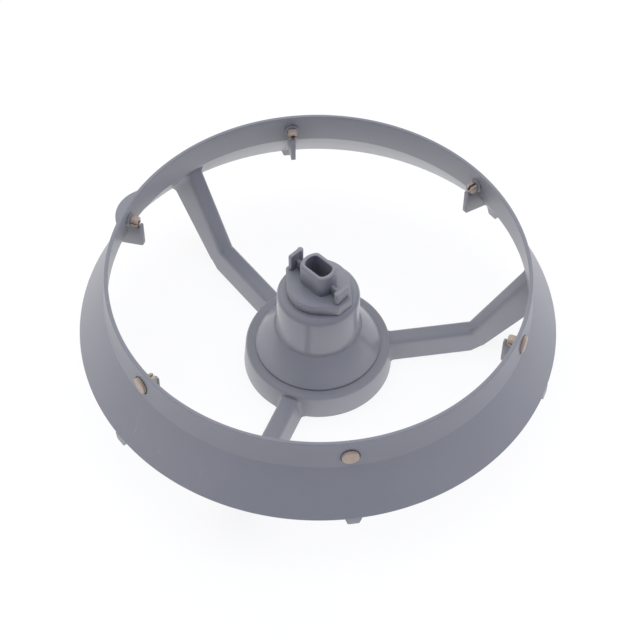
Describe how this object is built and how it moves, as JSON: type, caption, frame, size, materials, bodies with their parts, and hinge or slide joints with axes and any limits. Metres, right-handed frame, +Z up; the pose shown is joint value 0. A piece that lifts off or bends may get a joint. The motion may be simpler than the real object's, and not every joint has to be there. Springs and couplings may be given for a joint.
{
  "type": "microwave roller ring",
  "caption": "Spoked plastic ring with a flared skirt and small rollers set through its wall, and a hollow drive coupling that turns in the hub and ends in upright drive dogs.",
  "frame": {"origin": "on the ring's axis, at the level of the hub's flat underside, which the part stands on", "axes": "+Z up along the ring's and the coupling's axis, +X along the first spoke"},
  "size_m": [0.2188, 0.2188, 0.0673],
  "materials": {
    "ring_plastic": "moulded grey-blue plastic, satin",
    "coupling_plastic": "moulded grey-blue plastic, satin",
    "insert_plastic": "moulded grey-blue plastic, satin",
    "roller_plastic": "tan low-friction plastic, matte"
  },
  "bodies": {
    "ring": {"ring_frame": "ring_plastic"},
    "coupling": {"coupling": "coupling_plastic", "drive_insert": "insert_plastic"},
    "roller_1": {"roller_1": "roller_plastic"},
    "roller_2": {"roller_2": "roller_plastic"},
    "roller_3": {"roller_3": "roller_plastic"},
    "roller_4": {"roller_4": "roller_plastic"},
    "roller_5": {"roller_5": "roller_plastic"},
    "roller_6": {"roller_6": "roller_plastic"}
  },
  "joints": [
    {"name": "coupling_spin", "type": "hinge", "parent": "ring", "child": "coupling", "pos_m": [0, 0, 0.0133], "axis": [0, 0, 1], "continuous": true},
    {"name": "roller_1_spin", "type": "hinge", "parent": "ring", "child": "roller_1", "pos_m": [0.08227, 0.0475, 0.058], "axis": [0.866, 0.5, 0], "continuous": true},
    {"name": "roller_2_spin", "type": "hinge", "parent": "ring", "child": "roller_2", "pos_m": [0, 0.095, 0.058], "axis": [0, 1, 0], "continuous": true},
    {"name": "roller_3_spin", "type": "hinge", "parent": "ring", "child": "roller_3", "pos_m": [-0.08227, 0.0475, 0.058], "axis": [-0.866, 0.5, 0], "continuous": true},
    {"name": "roller_4_spin", "type": "hinge", "parent": "ring", "child": "roller_4", "pos_m": [-0.08227, -0.0475, 0.058], "axis": [-0.866, -0.5, 0], "continuous": true},
    {"name": "roller_5_spin", "type": "hinge", "parent": "ring", "child": "roller_5", "pos_m": [0, -0.095, 0.058], "axis": [0, -1, 0], "continuous": true},
    {"name": "roller_6_spin", "type": "hinge", "parent": "ring", "child": "roller_6", "pos_m": [0.08227, -0.0475, 0.058], "axis": [0.866, -0.5, 0], "continuous": true}
  ]
}
